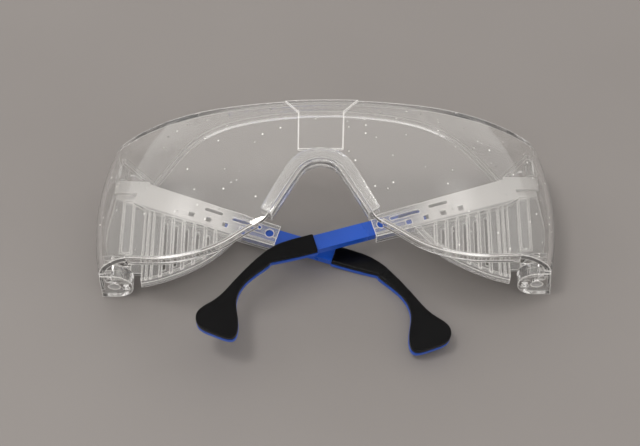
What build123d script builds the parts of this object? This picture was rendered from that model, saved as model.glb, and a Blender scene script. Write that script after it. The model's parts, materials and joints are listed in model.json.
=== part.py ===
from build123d import *
import os
from math import cos, radians, sin, sqrt

os.makedirs("parts", exist_ok=True)

# Clear over-the-glass safety spectacles, folded shut and lying on their back.
#
# Every piece is drawn in an upright frame: X towards the right temple, Y towards the
# back of the head, Z up, origin at the top middle of the lens's outer face. A temple
# piece is drawn for the right side, folded along -X, with its hinge line on Z.
# write() then puts each finished piece in its place and lays the whole object down.

# ---- resting attitude ----
TILT = 83.6            # degrees from upright to lying on the back
REST_DROP = 52.674     # height of the lens's top middle above the surface
REST_SHIFT = 30.611    # from the middle of the footprint to the lens's top middle

# ---- lens: one clear moulding ----
LENS_WALL = 1.8
PLAN_ARCS = ((130.0, 14.0), (68.0, 37.2), (14.0, 33.8))   # (radius, turn), middle outwards
WING_RUN = 10.5        # straight side behind the last arc
CROWN_RADIUS = 80.0    # upright curvature of the face
CROWN_HEIGHT = -27.0   # height of the fullest part
CROWN_CENTRE = sqrt(CROWN_RADIUS**2 - CROWN_HEIGHT**2)
LENS_FOOT = -60.0      # the swept wall is trimmed above this
REACH = 90.0           # longer than any cut
STEP_PROUD = 0.5       # raised middle panel over the nose
STEP_HALF_TURN = 6.0   # degrees either side of the middle, wider than the panel
RIM_DEPTH = 3.6        # inward lip along the lower edge
RIM_HEIGHT = 1.5

NOSE_CENTRE = -32.3    # centre of the nose arch
NOSE_EDGE = 8.5        # arch radius of the lens's own edge
NOSE_TURN = 57.7       # arch turn before the straight leg
NOSE_LEG = 16.4

SHELF = 1.8            # brow shelf thickness
LIP_WALL = 1.3
LIP_DEPTH = 3.4
SHELF_CORNER = (60.5, 52.0)
RIB_FRONT = (68.0, 34.0)
TAB_REAR = 45.8

# ---- hinges ----
HINGE_X = 69.3
HINGE_Y = 40.0
PIN_RADIUS = 1.1
PIN_FIT = 0.06         # running fit in the temple
PIN_SEAT = 0.02        # snug seat in the lens
KNUCKLE = 2.4
UPPER_KNUCKLE = (-12.5, -8.0)
UPPER_BOSS_FOOT = -7.6
EAR = (-38.9, -37.2)
EAR_RADII = (4.0, 4.3)
LOWER_KNUCKLE = (-41.6, -39.2)
FOOT = (-46.4, -42.0)
FOOT_RADII = (6.2, 7.8)
POCKET_DEPTH = 3.0
HEAD_RADIUS = 2.0
HEAD_HEIGHT = 0.9
HEAD_RECESS = 1.1

# ---- nose piece: soft clear U-channel on the lens edge ----
BRIDGE_INNER = 7.0
BRIDGE_OUTER = 12.0
BRIDGE_PROUD = 1.3
BRIDGE_BACK = 1.5
GRIP_GAP = 0.03
BRIDGE_FOOT_WIDTH = 4.2

# ---- temples ----
FOLD_RIGHT = -2.0      # degrees behind the X axis when shut, the right one in front
FOLD_LEFT = 5.0
SLOPE = 16.7           # the slide falls towards the tips
SLIDE_START = (8.0, -13.3)
SLEEVE_LENGTH = 47.3
SLEEVE_TALL = (9.4, 7.6)
SLEEVE_THICK = 4.6
CHANNEL = (5.7, 3.3)
CHANNEL_START = 9.5
PANEL = 1.4
RIB_FIRST = 14.8
RIB_PITCH = 3.55
RIBS = 6
RIB_PROUD = 1.2
RIB_WIDTH = 0.9
VENT = 0.9
RIM = 2.0
FRONT_RIBS = (8.6, 10.2, 11.8)
SHIELD_ENDS = ((-0.6, -0.8), (-1, -0.18))
SHIELD_EDGE = ((38.6, -26.4), (30.7, -34.6), (19.8, -40.9), (8.6, -44.6))
CLICK_PITCH = 6.0
CLICKS = 4

# ---- arms ----
ARM_TALL = 5.4
ARM_THICK = 3.0
ARM_START = 29.3       # along the slide
TIP_START = 67.2
PAWL_AT = 35.4
TIP_BEND = 50.0        # direction of the tips below level
TIP_CURL = 130.0       # inward curl radius
PAD_THICK = 2.2
TIP_SHOULDER = 0.5     # the tip stands this much taller than the arm at its root

SLIDE_DIR = (cos(radians(SLOPE)), -sin(radians(SLOPE)))
FACE = Plane((0, 0, 0), x_dir=(-1, 0, 0), z_dir=(0, 1, 0))
SLIDE = Plane(
    (-SLIDE_START[0], 0, SLIDE_START[1]),
    x_dir=(-SLIDE_DIR[0], 0, SLIDE_DIR[1]),
    z_dir=(0, 1, 0),
)
RESTING = Location((0, REST_SHIFT, REST_DROP)) * Location((0, 0, 0), (-TILT, 0, 0))
RIGHT_HINGE = Location((HINGE_X, HINGE_Y, 0), (0, 0, -FOLD_RIGHT))
LEFT_HINGE = Location((-HINGE_X, HINGE_Y, 0), (0, 0, FOLD_LEFT))
AXIS_SPOT = (HINGE_X, HINGE_Y)


def write(piece, label, place=Location()):
    """Put a finished piece in its place, lay it down and write its STEP file."""
    piece.part = piece.part.moved(RESTING * place)
    piece.part.label = label
    export_step(piece.part, f"parts/{label}.step")


def crown_section(proud, thickness):
    """Upright section of the lens wall, standing proud of the lens's outer face."""
    with Locations((CROWN_CENTRE, CROWN_HEIGHT)):
        Circle(CROWN_RADIUS + proud)
        Circle(CROWN_RADIUS + proud - thickness, mode=Mode.SUBTRACT)
    with Locations((0, LENS_FOOT)):
        Rectangle(60, -LENS_FOOT, align=(Align.CENTER, Align.MIN), mode=Mode.INTERSECT)


def lens_band(proud, thickness, run=WING_RUN):
    """Right half of a wall that follows the lens's outer face, standing proud of it."""
    with BuildPart() as wall:
        with BuildLine() as plan:
            end, heading = Vector(0, 0), Vector(1, 0)
            for radius, turn in PLAN_ARCS:
                arc = JernArc(end, heading, radius, turn)
                end, heading = arc @ 1, arc % 1
            Line(end, end + heading * run)
        with BuildSketch(Plane.YZ):
            crown_section(proud, thickness)
        sweep(path=plan.line)
    return wall.part


def arch_leg(radius, length):
    """Nose arch of one radius with its straight leg; the leg's end point and heading."""
    arch = JernArc((0, NOSE_CENTRE + radius), (1, 0), radius, -NOSE_TURN)
    leg = Line(arch @ 1, arch @ 1 + (arch % 1) * length)
    return leg @ 1, leg % 1


def lens_outline(inset):
    """Closed front outline of the right half of the lens, drawn in from its lower edge."""
    end, heading = arch_leg(NOSE_EDGE + inset, NOSE_LEG)
    lobe = Spline(
        end,
        (21.7, -45.4 + inset),
        (29.5, -49.2 + inset),
        (40.0, -51.3 + inset),
        (52.0, -50.0 + inset),
        (62.0, -46.6 + inset),
        (72.0, -45.2 + inset),
        tangents=(heading, (1, 0)),
    )
    Polyline(lobe @ 1, (REACH, -45.2 + inset), (REACH, 1), (0, 1), (0, NOSE_CENTRE + NOSE_EDGE + inset))


def plan_edge():
    """Rear edge of the brow shelf, from its corner to the middle."""
    return Spline(
        SHELF_CORNER,
        (50.6, 34.5),
        (42.5, 22.0),
        (28.0, 10.8),
        (14.0, 6.6),
        (0, 5.6),
        tangents=((-0.5, -0.87), (-1, 0)),
    )


# ---- lens ----
outside = lens_band(9.0, 9.0, run=WING_RUN + 8)
deep_band = lens_band(0, RIM_DEPTH)

with BuildPart() as rim_lip:
    add(deep_band)
    with BuildSketch(Plane.XZ):
        with BuildLine():
            lens_outline(0)
        make_face()
        with BuildLine():
            lens_outline(RIM_HEIGHT)
        make_face(mode=Mode.SUBTRACT)
        with Locations((19.0, LENS_FOOT)):
            Rectangle(43.0, 22.0, align=(Align.MIN, Align.MIN), mode=Mode.INTERSECT)
    extrude(amount=REACH, both=True, mode=Mode.INTERSECT)

FRONT_RADIUS = PLAN_ARCS[0][0]
step_turn = radians(STEP_HALF_TURN)
STEP_FROM = Plane(
    (-FRONT_RADIUS * sin(step_turn), FRONT_RADIUS * (1 - cos(step_turn)), 0),
    x_dir=(sin(step_turn), cos(step_turn), 0),
    z_dir=(cos(step_turn), -sin(step_turn), 0),
)
with BuildPart() as brow_step:
    with BuildSketch(STEP_FROM):
        crown_section(STEP_PROUD, STEP_PROUD + 0.4)
    revolve(axis=Axis((0, FRONT_RADIUS, 0), (0, 0, 1)), revolution_arc=2 * STEP_HALF_TURN)
    with BuildSketch(Plane.XZ):
        with BuildLine():
            half = Polyline((0, 0), (11.6, 0), (7.1, -5.5), (6.9, -20.5), (0, -20.5))
            mirror(half, about=Plane.YZ)
        make_face()
    extrude(amount=REACH, both=True, mode=Mode.INTERSECT)

with BuildPart() as lens_side:
    add(lens_band(0, LENS_WALL))
    with BuildSketch(Plane.XZ):
        with BuildLine():
            lens_outline(0)
        make_face()
    extrude(amount=REACH, both=True, mode=Mode.INTERSECT)
    add(rim_lip.part)
    # brow shelf with its rear lip and the rib in front of the hinge
    with BuildSketch(Plane.XY.offset(-SHELF)):
        with BuildLine():
            end, heading = Vector(0, 0), Vector(1, 0)
            for radius, turn in PLAN_ARCS:
                arc = JernArc(end, heading, radius, turn)
                end, heading = arc @ 1, arc % 1
            side = Line(end, end + heading * WING_RUN)
            Polyline(side @ 1, (63.2, TAB_REAR), SHELF_CORNER)
            plan_edge()
            Line((0, 5.6), (0, 0))
        make_face()
    extrude(amount=SHELF)
    with BuildSketch(Plane.XY.offset(-LIP_DEPTH)):
        with BuildLine():
            plan_edge()
        trace(line_width=LIP_WALL)
        with BuildLine():
            Line(SHELF_CORNER, RIB_FRONT)
        trace(line_width=LIP_WALL)
    extrude(amount=LIP_DEPTH)
    # upper hinge boss under the shelf
    with BuildSketch(Plane.XY.offset(UPPER_BOSS_FOOT)):
        with Locations(AXIS_SPOT):
            Circle(KNUCKLE)
    extrude(amount=-UPPER_BOSS_FOOT)
    # lower hinge: a small ear above the temple's knuckle and the foot below it
    for (low, high), (across, along) in ((EAR, EAR_RADII), (FOOT, FOOT_RADII)):
        with BuildSketch(Plane.XY.offset(low)):
            with Locations(AXIS_SPOT):
                Ellipse(across, along)
                Rectangle(9.0, 2 * along, align=(Align.MIN, Align.CENTER))
        extrude(amount=high - low)
    add(outside, mode=Mode.SUBTRACT)
    # two moulding pockets in the foot and the pin holes
    with BuildSketch(Plane.XY.offset(FOOT[0])):
        with Locations((HINGE_X - 3.8, HINGE_Y + 1.0), (HINGE_X + 1.0, HINGE_Y - 4.6)):
            RectangleRounded(2.2, 2.2, 0.5)
    extrude(amount=POCKET_DEPTH, mode=Mode.SUBTRACT)
    with BuildSketch(Plane.XY.offset(FOOT[0])):
        with Locations(AXIS_SPOT):
            Circle(PIN_RADIUS + PIN_SEAT)
    extrude(amount=REACH, mode=Mode.SUBTRACT)
    for base, rise in ((FOOT[0], HEAD_RECESS), (-HEAD_RECESS, HEAD_RECESS)):
        with BuildSketch(Plane.XY.offset(base)):
            with Locations(AXIS_SPOT):
                Circle(HEAD_RADIUS + PIN_SEAT)
        extrude(amount=rise, mode=Mode.SUBTRACT)

with BuildPart() as lens:
    add(lens_side.part)
    mirror(about=Plane.YZ)
    add(brow_step.part)
write(lens, "lens")

# ---- nose piece ----
channel_band = lens_band(GRIP_GAP, LENS_WALL + 2 * GRIP_GAP)
bridge_band = lens_band(BRIDGE_PROUD, BRIDGE_PROUD + LENS_WALL + BRIDGE_BACK)

with BuildPart() as groove:
    add(channel_band)
    with BuildSketch(Plane.XZ):
        with BuildLine():
            foot, heading = arch_leg(NOSE_EDGE - GRIP_GAP, NOSE_LEG + 6)
            Polyline(foot, (30, -44), (30, -10), (0, -10), (0, NOSE_CENTRE + NOSE_EDGE - GRIP_GAP))
        make_face()
    extrude(amount=REACH, both=True, mode=Mode.INTERSECT)

with BuildPart() as nose_side:
    add(bridge_band)
    with BuildSketch(Plane.XZ):
        with BuildLine():
            foot, heading = arch_leg(BRIDGE_INNER, NOSE_LEG)
            far = JernArc((0, NOSE_CENTRE + BRIDGE_OUTER), (1, 0), BRIDGE_OUTER, -NOSE_TURN)
            across = Vector(-heading.Y, heading.X)
            Polyline(foot, foot + across * BRIDGE_FOOT_WIDTH, far @ 1)
            Line((0, NOSE_CENTRE + BRIDGE_OUTER), (0, NOSE_CENTRE + BRIDGE_INNER))
        make_face()
    extrude(amount=REACH, both=True, mode=Mode.INTERSECT)
    add(groove.part, mode=Mode.SUBTRACT)

with BuildPart() as nose_bridge:
    add(nose_side.part)
    mirror(about=Plane.YZ)
write(nose_bridge, "nose_bridge")

# ---- hinge pins, pressed into the lens ----
PINS = (
    ("upper_hinge_pin", -0.1, -1, -12.2),
    ("lower_hinge_pin", FOOT[0] + 0.1, 1, EAR[1] + 0.4),
)
for name, head, way, end in PINS:
    with BuildPart() as pin:
        with BuildSketch(Plane.XY.offset(head)):
            Circle(HEAD_RADIUS)
        extrude(amount=way * HEAD_HEIGHT)
        with BuildSketch(Plane.XY.offset(head)):
            Circle(PIN_RADIUS)
        extrude(amount=end - head)
    with BuildPart() as twin:
        add(pin.part)
    write(pin, f"{name}_right", RIGHT_HINGE)
    write(twin, f"{name}_left", LEFT_HINGE)

# ---- temple body: hinge block, side shield with vents, and the sleeve for the arm ----
HALF_TALL = (SLEEVE_TALL[0] / 2, SLEEVE_TALL[1] / 2)
with BuildPart() as vent_ribs:
    with BuildSketch(FACE):
        with Locations([(RIB_FIRST + n * RIB_PITCH, -30) for n in range(RIBS)]):
            Rectangle(RIB_WIDTH, 60)
        with Locations([(s, -30) for s in FRONT_RIBS]):
            Rectangle(0.6, 60)
    extrude(amount=-(PANEL / 2 + RIB_PROUD))
    with BuildSketch(FACE):
        with BuildLine():
            Spline(*SHIELD_EDGE, tangents=SHIELD_ENDS)
            Polyline(SHIELD_EDGE[-1], (8.6, -17.0), (30, -20.0), SHIELD_EDGE[0])
        make_face()
    extrude(amount=REACH, both=True, mode=Mode.INTERSECT)

with BuildPart() as temple:
    # side shield panel
    with BuildSketch(FACE):
        with BuildLine():
            edge = Spline(*SHIELD_EDGE, tangents=SHIELD_ENDS)
            Polyline(
                edge @ 1,
                (8.6, LOWER_KNUCKLE[0]),
                (0, LOWER_KNUCKLE[0]),
                (0, LOWER_KNUCKLE[1]),
                (4.9, LOWER_KNUCKLE[1]),
                (4.9, -36.7),
                (-2.6, -36.7),
                (-3.6, -31.0),
                (-3.4, -26.0),
                (-1.5, UPPER_KNUCKLE[0] - 0.6),
                (-1.5, UPPER_KNUCKLE[0] + 1.0),
                (30, -18.0),
                edge @ 0,
            )
        make_face()
    extrude(amount=PANEL / 2, both=True)
    # rim along the lower edge
    with BuildSketch(FACE):
        with BuildLine():
            Spline(*SHIELD_EDGE, tangents=SHIELD_ENDS)
        trace(line_width=RIM)
    extrude(amount=1.5, both=True)
    # vertical ribs of the vents, and the raised frame on the front panel
    add(vent_ribs.part)
    with BuildSketch(FACE):
        with Locations((3.2, -24.6)):
            Rectangle(4.0, 20.4)
            Rectangle(2.8, 19.2, mode=Mode.SUBTRACT)
    extrude(amount=-(PANEL / 2 + 0.5))
    # vent slots beside each rib
    with BuildSketch(FACE):
        with Locations([(RIB_FIRST + n * RIB_PITCH + 1.1, -30) for n in range(RIBS - 1)]):
            Rectangle(VENT, 60)
        with BuildLine():
            Polyline((12, -21.5), (33, -27.8), (33, -30.8), (19.8, -38.4), (12, -41.4), (12, -21.5))
        make_face(mode=Mode.INTERSECT)
    extrude(amount=PANEL, both=True, mode=Mode.SUBTRACT)
    # sleeve and hinge block
    with BuildSketch(SLIDE):
        with BuildLine():
            Polyline(
                (-2.4, -HALF_TALL[0] + 1.2),
                (3.0, -HALF_TALL[0]),
                (SLEEVE_LENGTH, -HALF_TALL[1]),
                (SLEEVE_LENGTH, HALF_TALL[1]),
                (-2.4, HALF_TALL[0]),
                close=True,
            )
        make_face()
    extrude(amount=SLEEVE_THICK / 2, both=True)
    with BuildSketch(Plane.XY.offset(UPPER_KNUCKLE[0])):
        Circle(KNUCKLE)
        Rectangle(9.5, 2 * (KNUCKLE - 0.1), align=(Align.MAX, Align.CENTER))
    extrude(amount=UPPER_KNUCKLE[1] - UPPER_KNUCKLE[0])
    with BuildSketch(Plane.XY.offset(LOWER_KNUCKLE[0])):
        Circle(KNUCKLE)
        Rectangle(4.9, 2.4, align=(Align.MAX, Align.CENTER))
    extrude(amount=LOWER_KNUCKLE[1] - LOWER_KNUCKLE[0])
    # channel for the arm, with the pawl's groove and its click windows
    with BuildSketch(SLIDE):
        with Locations((CHANNEL_START, 0)):
            Rectangle(SLEEVE_LENGTH, CHANNEL[0], align=(Align.MIN, Align.CENTER))
    extrude(amount=CHANNEL[1] / 2, both=True, mode=Mode.SUBTRACT)
    with BuildSketch(SLIDE):
        with Locations((CHANNEL_START + 1, -1.6)):
            Rectangle(SLEEVE_LENGTH, 1.8, align=(Align.MIN, Align.CENTER))
    extrude(amount=-(CHANNEL[1] / 2 + 0.35), mode=Mode.SUBTRACT)
    with BuildSketch(SLIDE):
        with Locations([(PAWL_AT - n * CLICK_PITCH, -1.6) for n in range(CLICKS)]):
            Rectangle(1.9, 1.7)
        with Locations((36.0, 1.3)):
            SlotOverall(10.2, 1.3)
        with Locations((24.2, 1.9)):
            SlotOverall(6.6, 1.2)
        with Locations((44.4, 0.2)):
            Circle(1.4)
    extrude(amount=-SLEEVE_THICK, mode=Mode.SUBTRACT)
    # pin holes
    with BuildSketch(Plane.XY.offset(UPPER_KNUCKLE[0] + 0.2)):
        Circle(PIN_RADIUS + PIN_FIT)
    extrude(amount=10, mode=Mode.SUBTRACT)
    with BuildSketch(Plane.XY.offset(LOWER_KNUCKLE[0])):
        Circle(PIN_RADIUS + PIN_FIT)
    extrude(amount=LOWER_KNUCKLE[1] - LOWER_KNUCKLE[0], mode=Mode.SUBTRACT)

# ---- arm: the bar in the sleeve and the core of the ear tip ----
TIP_POINTS = (
    (86.0, -34.3),
    (93.2, -41.2),
    (99.0, -49.0),
    (104.6, -56.4),
    (109.6, -62.4),
    (109.0, -66.2),
    (103.6, -69.2),
    (97.6, -69.9),
    (96.4, -66.0),
    (97.4, -56.0),
    (94.2, -47.6),
    (87.6, -41.2),
)
tip_along = Vector(-cos(radians(TIP_BEND)), 0, -sin(radians(TIP_BEND)))
tip_start = SLIDE.from_local_coords((TIP_START, 0, 0))
CURL = Plane(tip_start, x_dir=tip_along, z_dir=tip_along.cross(Vector(0, 1, 0)))


def tip_slab(front, back):
    """Wide slab that runs straight, then curls inwards, between two depths from its middle."""
    with BuildPart() as slab:
        with BuildSketch(CURL):
            with BuildLine():
                near = Line((-40, -front), (0, -front))
                near_arc = JernArc(near @ 1, (1, 0), TIP_CURL - front, -24)
                far = Line((-40, back), (0, back))
                far_arc = JernArc(far @ 1, (1, 0), TIP_CURL + back, -24)
                Line(near @ 0, far @ 0)
                Line(near_arc @ 1, far_arc @ 1)
            make_face()
        extrude(amount=REACH, both=True)
    return slab.part


def tip_face():
    """Closed front outline of the ear tip in the FACE plane."""
    top = SLIDE.from_local_coords((TIP_START, ARM_TALL / 2 + TIP_SHOULDER, 0))
    bottom = SLIDE.from_local_coords((TIP_START, -ARM_TALL / 2 - TIP_SHOULDER, 0))
    edge = Spline(
        (-top.X, top.Z),
        *TIP_POINTS,
        (-bottom.X, bottom.Z),
        tangents=(SLIDE_DIR, (-SLIDE_DIR[0], -SLIDE_DIR[1])),
    )
    Line(edge @ 1, edge @ 0)


with BuildPart() as tip_core:
    with BuildSketch(FACE):
        with BuildLine():
            tip_face()
        make_face()
    extrude(amount=REACH, both=True)
    add(tip_slab(0, ARM_THICK / 2), mode=Mode.INTERSECT)

with BuildPart() as arm:
    with BuildSketch(SLIDE):
        with Locations((ARM_START, 0)):
            Rectangle(TIP_START + 1.5 - ARM_START, ARM_TALL, align=(Align.MIN, Align.CENTER))
        with Locations((ARM_START + 5.5, 1.3)):
            SlotOverall(7.0, 1.2, mode=Mode.SUBTRACT)
    extrude(amount=ARM_THICK / 2, both=True)
    with BuildSketch(SLIDE):
        with Locations((TIP_START - GRIP_GAP, 0)):
            Rectangle(3.0, 2 * ARM_TALL, align=(Align.MIN, Align.CENTER))
    extrude(amount=-ARM_THICK, mode=Mode.SUBTRACT)
    with BuildSketch(SLIDE):
        with Locations((PAWL_AT, -1.6)):
            Circle(0.65)
    extrude(amount=-(ARM_THICK / 2 + 0.3))
    add(tip_core.part)

with BuildPart() as ear_pad:
    with BuildSketch(FACE):
        with BuildLine():
            tip_face()
        make_face()
    extrude(amount=REACH, both=True)
    add(tip_slab(PAD_THICK, -GRIP_GAP), mode=Mode.INTERSECT)

for piece, name in ((temple, "temple"), (arm, "arm"), (ear_pad, "ear_pad")):
    with BuildPart() as left_twin:
        mirror(objects=piece.part, about=Plane.YZ)
    write(piece, f"{name}_right", RIGHT_HINGE)
    write(left_twin, f"{name}_left", LEFT_HINGE)
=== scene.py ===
"""Looks of the folded over-the-glass safety spectacles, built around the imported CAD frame."""

import json
import logging
import math
from dataclasses import dataclass
from enum import Enum
from typing import Optional, Sequence, Union

import bmesh
import bpy
import numpy as np
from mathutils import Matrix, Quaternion, Vector


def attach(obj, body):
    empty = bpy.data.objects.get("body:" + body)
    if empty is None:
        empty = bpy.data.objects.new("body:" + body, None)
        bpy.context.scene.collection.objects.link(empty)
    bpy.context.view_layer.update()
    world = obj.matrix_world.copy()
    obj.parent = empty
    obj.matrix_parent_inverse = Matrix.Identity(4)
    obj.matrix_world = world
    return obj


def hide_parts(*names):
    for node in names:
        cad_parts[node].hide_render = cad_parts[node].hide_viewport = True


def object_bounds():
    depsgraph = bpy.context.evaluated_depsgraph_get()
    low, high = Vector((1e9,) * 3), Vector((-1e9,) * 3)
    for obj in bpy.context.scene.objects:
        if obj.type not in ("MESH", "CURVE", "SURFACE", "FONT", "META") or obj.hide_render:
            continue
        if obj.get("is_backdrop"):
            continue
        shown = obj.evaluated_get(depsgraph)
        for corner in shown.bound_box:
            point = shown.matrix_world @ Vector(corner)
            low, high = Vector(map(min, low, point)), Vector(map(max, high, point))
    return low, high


LOG = logging.getLogger("spectacles")
MM = 0.001
IMAGE_WIDTH = 640
BEVEL_SAMPLES = 6
EDGE_MARK = 0.035
EDGE_FADE = 0.03

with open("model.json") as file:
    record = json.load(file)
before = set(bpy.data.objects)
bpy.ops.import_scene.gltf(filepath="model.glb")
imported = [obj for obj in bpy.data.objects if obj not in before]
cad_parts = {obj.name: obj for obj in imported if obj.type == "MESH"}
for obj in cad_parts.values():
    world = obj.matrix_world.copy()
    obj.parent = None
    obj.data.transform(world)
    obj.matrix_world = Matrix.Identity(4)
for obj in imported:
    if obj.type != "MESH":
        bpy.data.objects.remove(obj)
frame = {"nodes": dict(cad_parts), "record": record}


# ---------------------------------------------------------------- shader tools


Value = Union[float, int, "Wire"]


class Wire:
    """A node socket that can be used in Python arithmetic."""

    def __init__(self, graph: "Graph", socket: bpy.types.NodeSocket) -> None:
        """Keep the graph that new nodes go to and the socket that this stands for."""
        self.graph = graph
        self.socket = socket

    def _math(self, operation: str, *values: Value, clamp: bool = False) -> "Wire":
        """Add one Math node.

        Args:
            operation: The Math node's operation.
            values: Its inputs in order.
            clamp: Whether the result is held between 0 and 1.

        Returns:
            The node's result.
        """
        settings = {"operation": operation, "use_clamp": clamp}
        return self.graph.node("ShaderNodeMath", settings, dict(enumerate(values)))

    def __add__(self, other: Value) -> "Wire":
        """Sum."""
        return self._math("ADD", self, other)

    __radd__ = __add__

    def __mul__(self, other: Value) -> "Wire":
        """Product."""
        return self._math("MULTIPLY", self, other)

    __rmul__ = __mul__

    def __sub__(self, other: Value) -> "Wire":
        """Difference."""
        return self._math("SUBTRACT", self, other)

    def __rsub__(self, other: Value) -> "Wire":
        """Difference, with this on the right."""
        return self._math("SUBTRACT", other, self)

    def __pow__(self, other: Value) -> "Wire":
        """Power."""
        return self._math("POWER", self, other)

    def above(self, edge: float, softness: float) -> "Wire":
        """Rise from 0 to 1 across an edge.

        Args:
            edge: Where the result is a half.
            softness: Half the width of the rise.

        Returns:
            The clamped ramp.
        """
        gain = 0.5 / softness
        return self._math("MULTIPLY_ADD", self, gain, 0.5 - gain * edge, clamp=True)


class Graph:
    """One node tree, with short ways to add nodes to it."""

    def __init__(self, owner: Union[bpy.types.Material, bpy.types.World]) -> None:
        """Empty the node tree of a new material or world."""
        self.owner = owner
        self.owner.use_nodes = True
        self.tree = self.owner.node_tree
        self.tree.nodes.clear()

    def node(
        self,
        kind: str,
        settings: Optional[dict] = None,
        inputs: Optional[dict] = None,
        output: Union[int, str] = 0,
    ) -> Wire:
        """Add any node.

        Args:
            kind: The node's type.
            settings: Its properties, set before its inputs.
            inputs: Values or wires by socket name or number.
            output: Which output is returned.

        Returns:
            The chosen output.
        """
        made = self.tree.nodes.new(kind)
        for key, value in (settings or {}).items():
            setattr(made, key, value)
        for key, value in (inputs or {}).items():
            if isinstance(value, Wire):
                self.tree.links.new(value.socket, made.inputs[key])
            else:
                made.inputs[key].default_value = value
        return Wire(self, made.outputs[output] if made.outputs else None)

    def place(self) -> Wire:
        """Object coordinates, in metres."""
        return self.node("ShaderNodeTexCoord", output="Object")

    def noise(self, scale: float, detail: float = 3.0, stretch: Sequence[float] = (1, 1, 1)) -> Wire:
        """Fractal noise over the piece.

        Args:
            scale: Patches per metre.
            detail: Octaves.
            stretch: How much tighter it is along each axis.

        Returns:
            The noise, from 0 to 1.
        """
        where = self.node("ShaderNodeMapping", inputs={"Vector": self.place(), "Scale": stretch})
        return self.node(
            "ShaderNodeTexNoise", inputs={"Vector": where, "Scale": scale, "Detail": detail}
        )

    def specks(self, scale: float, size: float) -> Wire:
        """Small scattered dots, 1 inside a dot and 0 outside.

        Args:
            scale: Cells per metre, one dot to a cell.
            size: The dots' radius as a share of a cell.

        Returns:
            The mask.
        """
        cells = self.node(
            "ShaderNodeTexVoronoi",
            {"feature": "F1"},
            {"Vector": self.place(), "Scale": scale},
            output="Distance",
        )
        return 1 - cells.above(size, size * 0.4)

    def sharp_edges(self, radius: float) -> Wire:
        """Mark the sharp edges of a piece.

        Args:
            radius: How far from an edge the mark reaches, in metres.

        Returns:
            One minus the cosine between the true and the rounded-off direction of the surface,
            stretched so that it is 1 at an edge and 0 away from it.
        """
        rounded = self.node("ShaderNodeBevel", {"samples": BEVEL_SAMPLES}, {"Radius": radius})
        true = self.node("ShaderNodeNewGeometry", output="Normal")
        same = self.node(
            "ShaderNodeVectorMath", {"operation": "DOT_PRODUCT"}, {0: rounded, 1: true}, "Value"
        )
        return (1 - same).above(EDGE_MARK, EDGE_FADE)

    def along_sleeve(self, slope: float, edge: float, softness: float, start: float) -> Wire:
        """Mark the thick sleeve of a shut temple, on either side of the spectacles.

        Args:
            slope: How much the sleeve rises for each metre outwards.
            edge: Height of the sleeve's lower side over the middle, in metres.
            softness: Half the width of the mark's fading, in metres.
            start: Distance outwards from which the sleeve is empty, in metres.

        Returns:
            1 where the height less the slope times the distance outwards is over the edge, and
            the distance outwards is over the start.
        """
        spot = self.place()
        outwards = self.node("ShaderNodeSeparateXYZ", inputs={0: spot}, output="X")
        height = self.node("ShaderNodeSeparateXYZ", inputs={0: spot}, output="Y")
        distance = self.node("ShaderNodeMath", {"operation": "ABSOLUTE"}, {0: outwards})
        empty = distance.above(start, 8 * softness)
        return (height - distance * slope).above(edge, softness) * empty

    def blend(self, share: Value, first: Sequence[float], second: Sequence[float]) -> Wire:
        """Mix two colours by a share of the second."""
        return self.node(
            "ShaderNodeMix",
            {"data_type": "RGBA"},
            {0: share, 6: (*first, 1.0), 7: (*second, 1.0)},
            output=2,
        )

    def bump(self, height: Wire, depth: float, strength: float = 1.0) -> Wire:
        """Relief from a height in 0..1 that is depth metres tall."""
        return self.node(
            "ShaderNodeBump", inputs={"Height": height, "Distance": depth, "Strength": strength}
        )

    def finish(self, shader: Wire) -> Union[bpy.types.Material, bpy.types.World]:
        """Send a shader to the surface and return what owns the tree."""
        kind = "World" if isinstance(self.owner, bpy.types.World) else "Material"
        self.node(f"ShaderNodeOutput{kind}", inputs={"Surface": shader})
        return self.owner


# ---------------------------------------------------------------- finishes


class Finish(Enum):
    """The record's material slots."""

    LENS = "clear_polycarbonate"
    TEMPLE = "clear_temple"
    NOSE = "clear_soft_vinyl"
    PIN = "clear_pin"
    ARM = "blue_polymer"
    PAD = "black_rubber"


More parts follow.
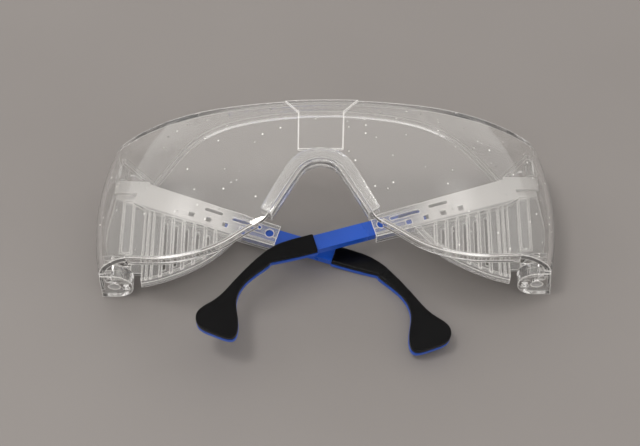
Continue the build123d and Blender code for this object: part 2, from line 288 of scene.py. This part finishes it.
@dataclass(frozen=True)
class ClearPlastic:
    """Clear moulded plastic with faint wear, a little haze and dust, and white painted highlights on its
    sharp edges.

    Attributes:
        name: The material's name.
        tint: Colour of the light it passes.
        haze: Share of the surface's light that it scatters instead of passing.
        polish: Roughness where it is cleanest.
        wear: Roughness added where it is rubbed.
        dust: Radius of the dust specks as a share of their spacing.
        edge: How much white painted highlight covers a sharp edge, standing in for glints.
        milk_and_glare: How much milky white covers the thick sleeve, on a temple: partly milky haze,
            partly a painted highlight standing in for the lamps' reflections.
    """

    name: str
    tint: tuple = (0.97, 0.965, 0.955)
    haze: float = 0.05
    polish: float = 0.015
    wear: float = 0.05
    dust: float = 0.07
    edge: float = 0.9
    milk_and_glare: float = 0.0

    # where the sleeve's milky white and painted highlight lie
    SLEEVE_SLOPE = 0.298
    SLEEVE_SIDE = -0.0006
    SLEEVE_FADE = 0.0006
    SLEEVE_EMPTY = 0.031
    REFRACTION = 1.58
    RUB_SCALE = 90.0
    DUST_SCALE = 230.0
    EDGE_HIGHLIGHT_RADIUS = 0.0006
    # white of the painted highlights on the sharp edges and on a temple's sleeve
    PAINTED_HIGHLIGHT_COLOUR = (0.97, 0.95, 0.93)
    DUST_COLOUR = (0.86, 0.84, 0.81)
    DUST_ROUGHNESS = 0.7
    EDGE_HIGHLIGHT_ROUGHNESS = 0.15
    MILK_GLARE_ROUGHNESS = 0.22
    MILK_GLARE_PASSES = 0.12
    RIPPLE_DEPTH = 0.00006

    def build(self) -> bpy.types.Material:
        """Make the material.

        Returns:
            Glass of the plastic's refraction, with a white painted highlight on its sharp edges, dusted
            with specks of a dull grain.
        """
        graph = Graph(bpy.data.materials.new(self.name))
        rubbed = graph.noise(self.RUB_SCALE, 4.0)
        ripple = graph.noise(self.RUB_SCALE * 0.3, 1.0)
        clear = graph.node(
            "ShaderNodeBsdfPrincipled",
            inputs={
                "Base Color": (*self.tint, 1.0),
                "Roughness": rubbed.above(0.6, 0.25) * self.wear + self.polish,
                "IOR": self.REFRACTION,
                "Transmission Weight": 1 - self.haze,
                "Normal": graph.bump(ripple, self.RIPPLE_DEPTH, 0.5),
            },
        )
        grain = graph.node(
            "ShaderNodeBsdfPrincipled",
            inputs={"Base Color": (*self.DUST_COLOUR, 1.0), "Roughness": self.DUST_ROUGHNESS},
        )
        # white diffuse shader mixed onto sharp edges: a painted highlight standing in for glints
        painted_edge_highlight = graph.node(
            "ShaderNodeBsdfPrincipled",
            inputs={"Base Color": (*self.PAINTED_HIGHLIGHT_COLOUR, 1.0), "Roughness": self.EDGE_HIGHLIGHT_ROUGHNESS},
        )
        edge_highlight_mask = graph.sharp_edges(self.EDGE_HIGHLIGHT_RADIUS) * self.edge
        with_painted_highlights = graph.node("ShaderNodeMixShader", inputs={0: edge_highlight_mask, 1: clear, 2: painted_edge_highlight})
        # milky white over the temple's thick sleeve: partly haze, partly a painted highlight for the
        # lamps' reflections
        if self.milk_and_glare:
            milky_glare_shader = graph.node(
                "ShaderNodeBsdfPrincipled",
                inputs={
                    "Base Color": (*self.PAINTED_HIGHLIGHT_COLOUR, 1.0),
                    "Roughness": self.MILK_GLARE_ROUGHNESS,
                    "Transmission Weight": self.MILK_GLARE_PASSES,
                },
            )
            painted_glare_mask = self.milk_and_glare * graph.along_sleeve(
                self.SLEEVE_SLOPE, self.SLEEVE_SIDE, self.SLEEVE_FADE, self.SLEEVE_EMPTY
            )
            with_painted_highlights = graph.node("ShaderNodeMixShader", inputs={0: painted_glare_mask, 1: with_painted_highlights, 2: milky_glare_shader})
        sprinkled = graph.specks(self.DUST_SCALE, self.dust)
        return graph.finish(graph.node("ShaderNodeMixShader", inputs={0: sprinkled, 1: with_painted_highlights, 2: grain}))


@dataclass(frozen=True)
class SolidPlastic:
    """Opaque moulded plastic or rubber.

    Attributes:
        name: The material's name.
        base: Its main colour.
        shade: The colour of its duller patches.
        gloss: Roughness where it is smoothest.
        wear: Roughness added where it is rubbed.
        grain: Patches of its fine grain per metre.
        relief: Depth of the grain in metres.
        coat: Weight of the glossy skin.
        sheen: Strength of its reflections.
    """

    name: str
    base: tuple
    shade: tuple
    gloss: float
    wear: float
    grain: float
    relief: float
    coat: float = 0.0
    sheen: float = 0.5

    DRIFT_SCALE = 70.0
    COAT_ROUGHNESS = 0.12

    def build(self) -> bpy.types.Material:
        """Make the material.

        Returns:
            A grained opaque shader whose colour and gloss drift a little.
        """
        graph = Graph(bpy.data.materials.new(self.name))
        drift = graph.noise(self.DRIFT_SCALE, 4.0)
        fine = graph.noise(self.grain, 2.0)
        shader = graph.node(
            "ShaderNodeBsdfPrincipled",
            inputs={
                "Base Color": graph.blend(drift.above(0.5, 0.3), self.base, self.shade),
                "Roughness": drift.above(0.55, 0.3) * self.wear + self.gloss,
                "Specular IOR Level": self.sheen,
                "Coat Weight": self.coat,
                "Coat Roughness": self.COAT_ROUGHNESS,
                "Normal": graph.bump(fine, self.relief),
            },
        )
        return graph.finish(shader)


@dataclass(frozen=True)
class StudioFloor:
    """A plain pale table top."""

    name: str = "pale_table"
    base: tuple = (0.25, 0.232, 0.221)
    shade: tuple = (0.228, 0.21, 0.2)

    def build(self) -> bpy.types.Material:
        """Make the material."""
        graph = Graph(bpy.data.materials.new(self.name))
        drift = graph.noise(9.0, 3.0)
        shader = graph.node(
            "ShaderNodeBsdfPrincipled",
            inputs={
                "Base Color": graph.blend(drift.above(0.5, 0.3), self.base, self.shade),
                "Roughness": 0.5,
            },
        )
        return graph.finish(shader)


def finishes() -> dict[Finish, bpy.types.Material]:
    """Make every finish of the spectacles.

    Returns:
        One material for each of the record's slots.
    """
    made = {
        Finish.LENS: ClearPlastic("clear_polycarbonate"),
        Finish.TEMPLE: ClearPlastic(
            "clear_temple", haze=0.16, polish=0.03, wear=0.06, dust=0.03, edge=1.0, milk_and_glare=0.8
        ),
        Finish.NOSE: ClearPlastic("clear_soft_vinyl", haze=0.12, polish=0.10, wear=0.10, dust=0.02),
        Finish.PIN: ClearPlastic("clear_pin", haze=0.30, polish=0.06, dust=0.0001),
        Finish.ARM: SolidPlastic(
            "blue_polymer", (0.010, 0.095, 0.56), (0.008, 0.074, 0.45), 0.24, 0.16, 900.0, 0.00002
        ),
        Finish.PAD: SolidPlastic(
            "black_rubber",
            (0.0012, 0.0012, 0.0016),
            (0.003, 0.003, 0.0035),
            gloss=0.17,
            wear=0.14,
            grain=1400.0,
            relief=0.00002,
            sheen=0.14,
        ),
    }
    return {slot: kind.build() for slot, kind in made.items()}


# ---------------------------------------------------------------- the object


@dataclass
class Moulding:
    """A CAD node shown as a welded, smooth copy of itself.

    Attributes:
        node: The CAD node's name, and the piece's with a suffix.
        body: The body that it rides on.
        finish: Its finish.
        crease: Edges sharper than this many degrees stay sharp.
        round_edge: Width of the rounding on sharp edges.
        melt: Smoothing passes of a soft moulding, which has no sharp edge at all.
    """

    node: str
    body: str
    finish: Finish
    crease: float = 32.0
    round_edge: float = 0.3 * MM
    melt: int = 0

    WELD = 1e-6
    VOXEL = 0.25 * MM

    def build(self, materials: dict[Finish, bpy.types.Material]) -> bpy.types.Object:
        """Copy the node's mesh, weld it, smooth it and stand it in for the node.

        Args:
            materials: Every finish's material.

        Returns:
            The new piece.
        """
        mesh = bpy.data.meshes.new(f"{self.node}_skin")
        shell = bmesh.new()
        shell.from_mesh(frame["nodes"][self.node].data)
        bmesh.ops.remove_doubles(shell, verts=shell.verts, dist=self.WELD)
        for face in shell.faces:
            face.smooth = True
        limit = math.radians(self.crease)
        for edge in shell.edges:
            edge.smooth = len(edge.link_faces) == 2 and edge.calc_face_angle(0.0) < limit
        shell.to_mesh(mesh)
        shell.free()
        mesh.materials.append(materials[self.finish])
        piece = bpy.data.objects.new(f"{self.node}_skin", mesh)
        bpy.context.scene.collection.objects.link(piece)
        if self.melt:
            self._soften(piece)
        else:
            self._bevel(piece, limit)
        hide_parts(self.node)
        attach(piece, self.body)
        LOG.info("%s: %d faces", piece.name, len(mesh.polygons))
        return piece

    def _bevel(self, piece: bpy.types.Object, limit: float) -> None:
        """Round the edges that are sharper than a limit in radians."""
        bevel = piece.modifiers.new("rounded_edges", "BEVEL")
        bevel.width = self.round_edge
        bevel.segments = 3
        bevel.limit_method = "ANGLE"
        bevel.angle_limit = limit
        bevel.use_clamp_overlap = True

    def _soften(self, piece: bpy.types.Object) -> None:
        """Remesh the piece in even quads, then smooth every edge away."""
        grid = piece.modifiers.new("even_quads", "REMESH")
        grid.mode = "VOXEL"
        grid.voxel_size = self.VOXEL
        grid.use_smooth_shade = True
        smooth = piece.modifiers.new("soft_edges", "SMOOTH")
        smooth.factor = 0.5
        smooth.iterations = self.melt


# smoothing passes of the pieces that are moulded in soft material
SOFT_PASSES = {Finish.NOSE: 8, Finish.PAD: 14}


# ---------------------------------------------------------------- studio


@dataclass
class Studio:
    """Floor, lights and camera."""

    floor_size: float = 4.0
    ambient: tuple = (1.0, 0.975, 0.95)
    glow: float = 0.85
    patches: tuple = (
        (-75.0, 38.0, 90.0, 1.2),
        (70.0, 42.0, 90.0, 1.2),
        (-110.0, 14.0, 50.0, 2.5),
        (110.0, 14.0, 50.0, 2.5),
        (180.0, 80.0, 90.0, 2.0),
    )
    azimuth: float = 3.56
    elevation: float = 56.5
    roll: float = -3.4
    distance: float = 0.45
    focal_pixels: float = 1416.0
    aim_offset: tuple = (-0.0008, -0.0019, 0.0032)
    lamps: tuple = (
        ("top", (-0.25, -0.10, 0.90), (0.20, 0.20), 2.5, (1.0, 0.98, 0.95)),
    )

    def floor(self) -> None:
        """Lay a square floor at the height that the object stands on."""
        half = self.floor_size / 2
        signs = np.array([(-1, -1, 0), (1, -1, 0), (1, 1, 0), (-1, 1, 0)], float)
        corners = signs * half
        mesh = bpy.data.meshes.new("table_top")
        mesh.from_pydata(corners.tolist(), [], [(0, 1, 2, 3)])
        mesh.materials.append(StudioFloor().build())
        top = bpy.data.objects.new("table_top", mesh)
        bpy.context.scene.collection.objects.link(top)
        top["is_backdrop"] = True

    def room(self) -> bpy.types.World:
        """Make the soft room light: an even glow with soft bright patches.

        Returns:
            A world whose light in a direction is the even glow plus, for each patch, its
            strength times the cosine of the angle from the patch's middle to a high power.
        """
        graph = Graph(bpy.data.worlds.new("soft_room"))
        way = graph.node("ShaderNodeTexCoord", output="Generated")
        light = self.glow
        for turn, rise, sharpness, strength in self.patches:
            turn, rise = math.radians(turn), math.radians(rise)
            middle = (math.sin(turn) * math.cos(rise), math.cos(turn) * math.cos(rise), math.sin(rise))
            facing = graph.node(
                "ShaderNodeVectorMath", {"operation": "DOT_PRODUCT"}, {0: way, 1: middle}, "Value"
            )
            light = facing.above(0.5, 0.5) ** sharpness * strength + light
        inputs = {"Color": (*self.ambient, 1.0), "Strength": light}
        return graph.finish(graph.node("ShaderNodeBackground", inputs=inputs))

    def lights(self, centre: Vector) -> None:
        """Hang the lamps round the object.

        Args:
            centre: The point that they face.
        """
        bpy.context.scene.world = self.room()
        for name, offset, size, power, colour in self.lamps:
            lamp = bpy.data.lights.new(name, "AREA")
            lamp.shape = "RECTANGLE"
            lamp.size, lamp.size_y = size
            lamp.energy = power
            lamp.color = colour
            holder = bpy.data.objects.new(name, lamp)
            holder.location = centre + Vector(offset)
            holder.rotation_mode = "QUATERNION"
            holder.rotation_quaternion = (-Vector(offset)).to_track_quat("-Z", "Y")
            bpy.context.scene.collection.objects.link(holder)

    def camera(self, centre: Vector) -> None:
        """Place the camera.

        Args:
            centre: The middle of the object's box.
        """
        turn, rise = math.radians(self.azimuth), math.radians(self.elevation)
        back = Vector(
            (math.sin(turn) * math.cos(rise), -math.cos(turn) * math.cos(rise), math.sin(rise))
        )
        lens = bpy.data.cameras.new("camera")
        lens.sensor_width = 36.0
        lens.lens = lens.sensor_width * self.focal_pixels / IMAGE_WIDTH
        lens.clip_start = 0.01
        eye = bpy.data.objects.new("camera", lens)
        eye.location = centre + Vector(self.aim_offset) + back * self.distance
        eye.rotation_mode = "QUATERNION"
        level = (-back).to_track_quat("-Z", "Y")
        eye.rotation_quaternion = level @ Quaternion((0, 0, 1), math.radians(self.roll))
        bpy.context.scene.collection.objects.link(eye)
        bpy.context.scene.camera = eye
        bpy.context.scene.view_settings.view_transform = "Standard"


def main() -> None:
    """Build every piece, then the studio."""
    logging.basicConfig(level=logging.INFO, format="%(name)s: %(message)s")
    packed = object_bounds()
    materials = finishes()
    slots = {part["node"]: Finish(part["material_slot"]) for part in frame["record"]["subparts"]}
    for body, nodes in frame["record"]["behaviour"]["bodies"].items():
        for node in nodes:
            soft = SOFT_PASSES.get(slots[node], 0)
            Moulding(node, body, slots[node], melt=soft).build(materials)
    low, high = packed
    centre = (low + high) / 2
    studio = Studio()
    studio.floor()
    studio.lights(centre)
    studio.camera(centre)


if __name__ == "__main__":
    main()
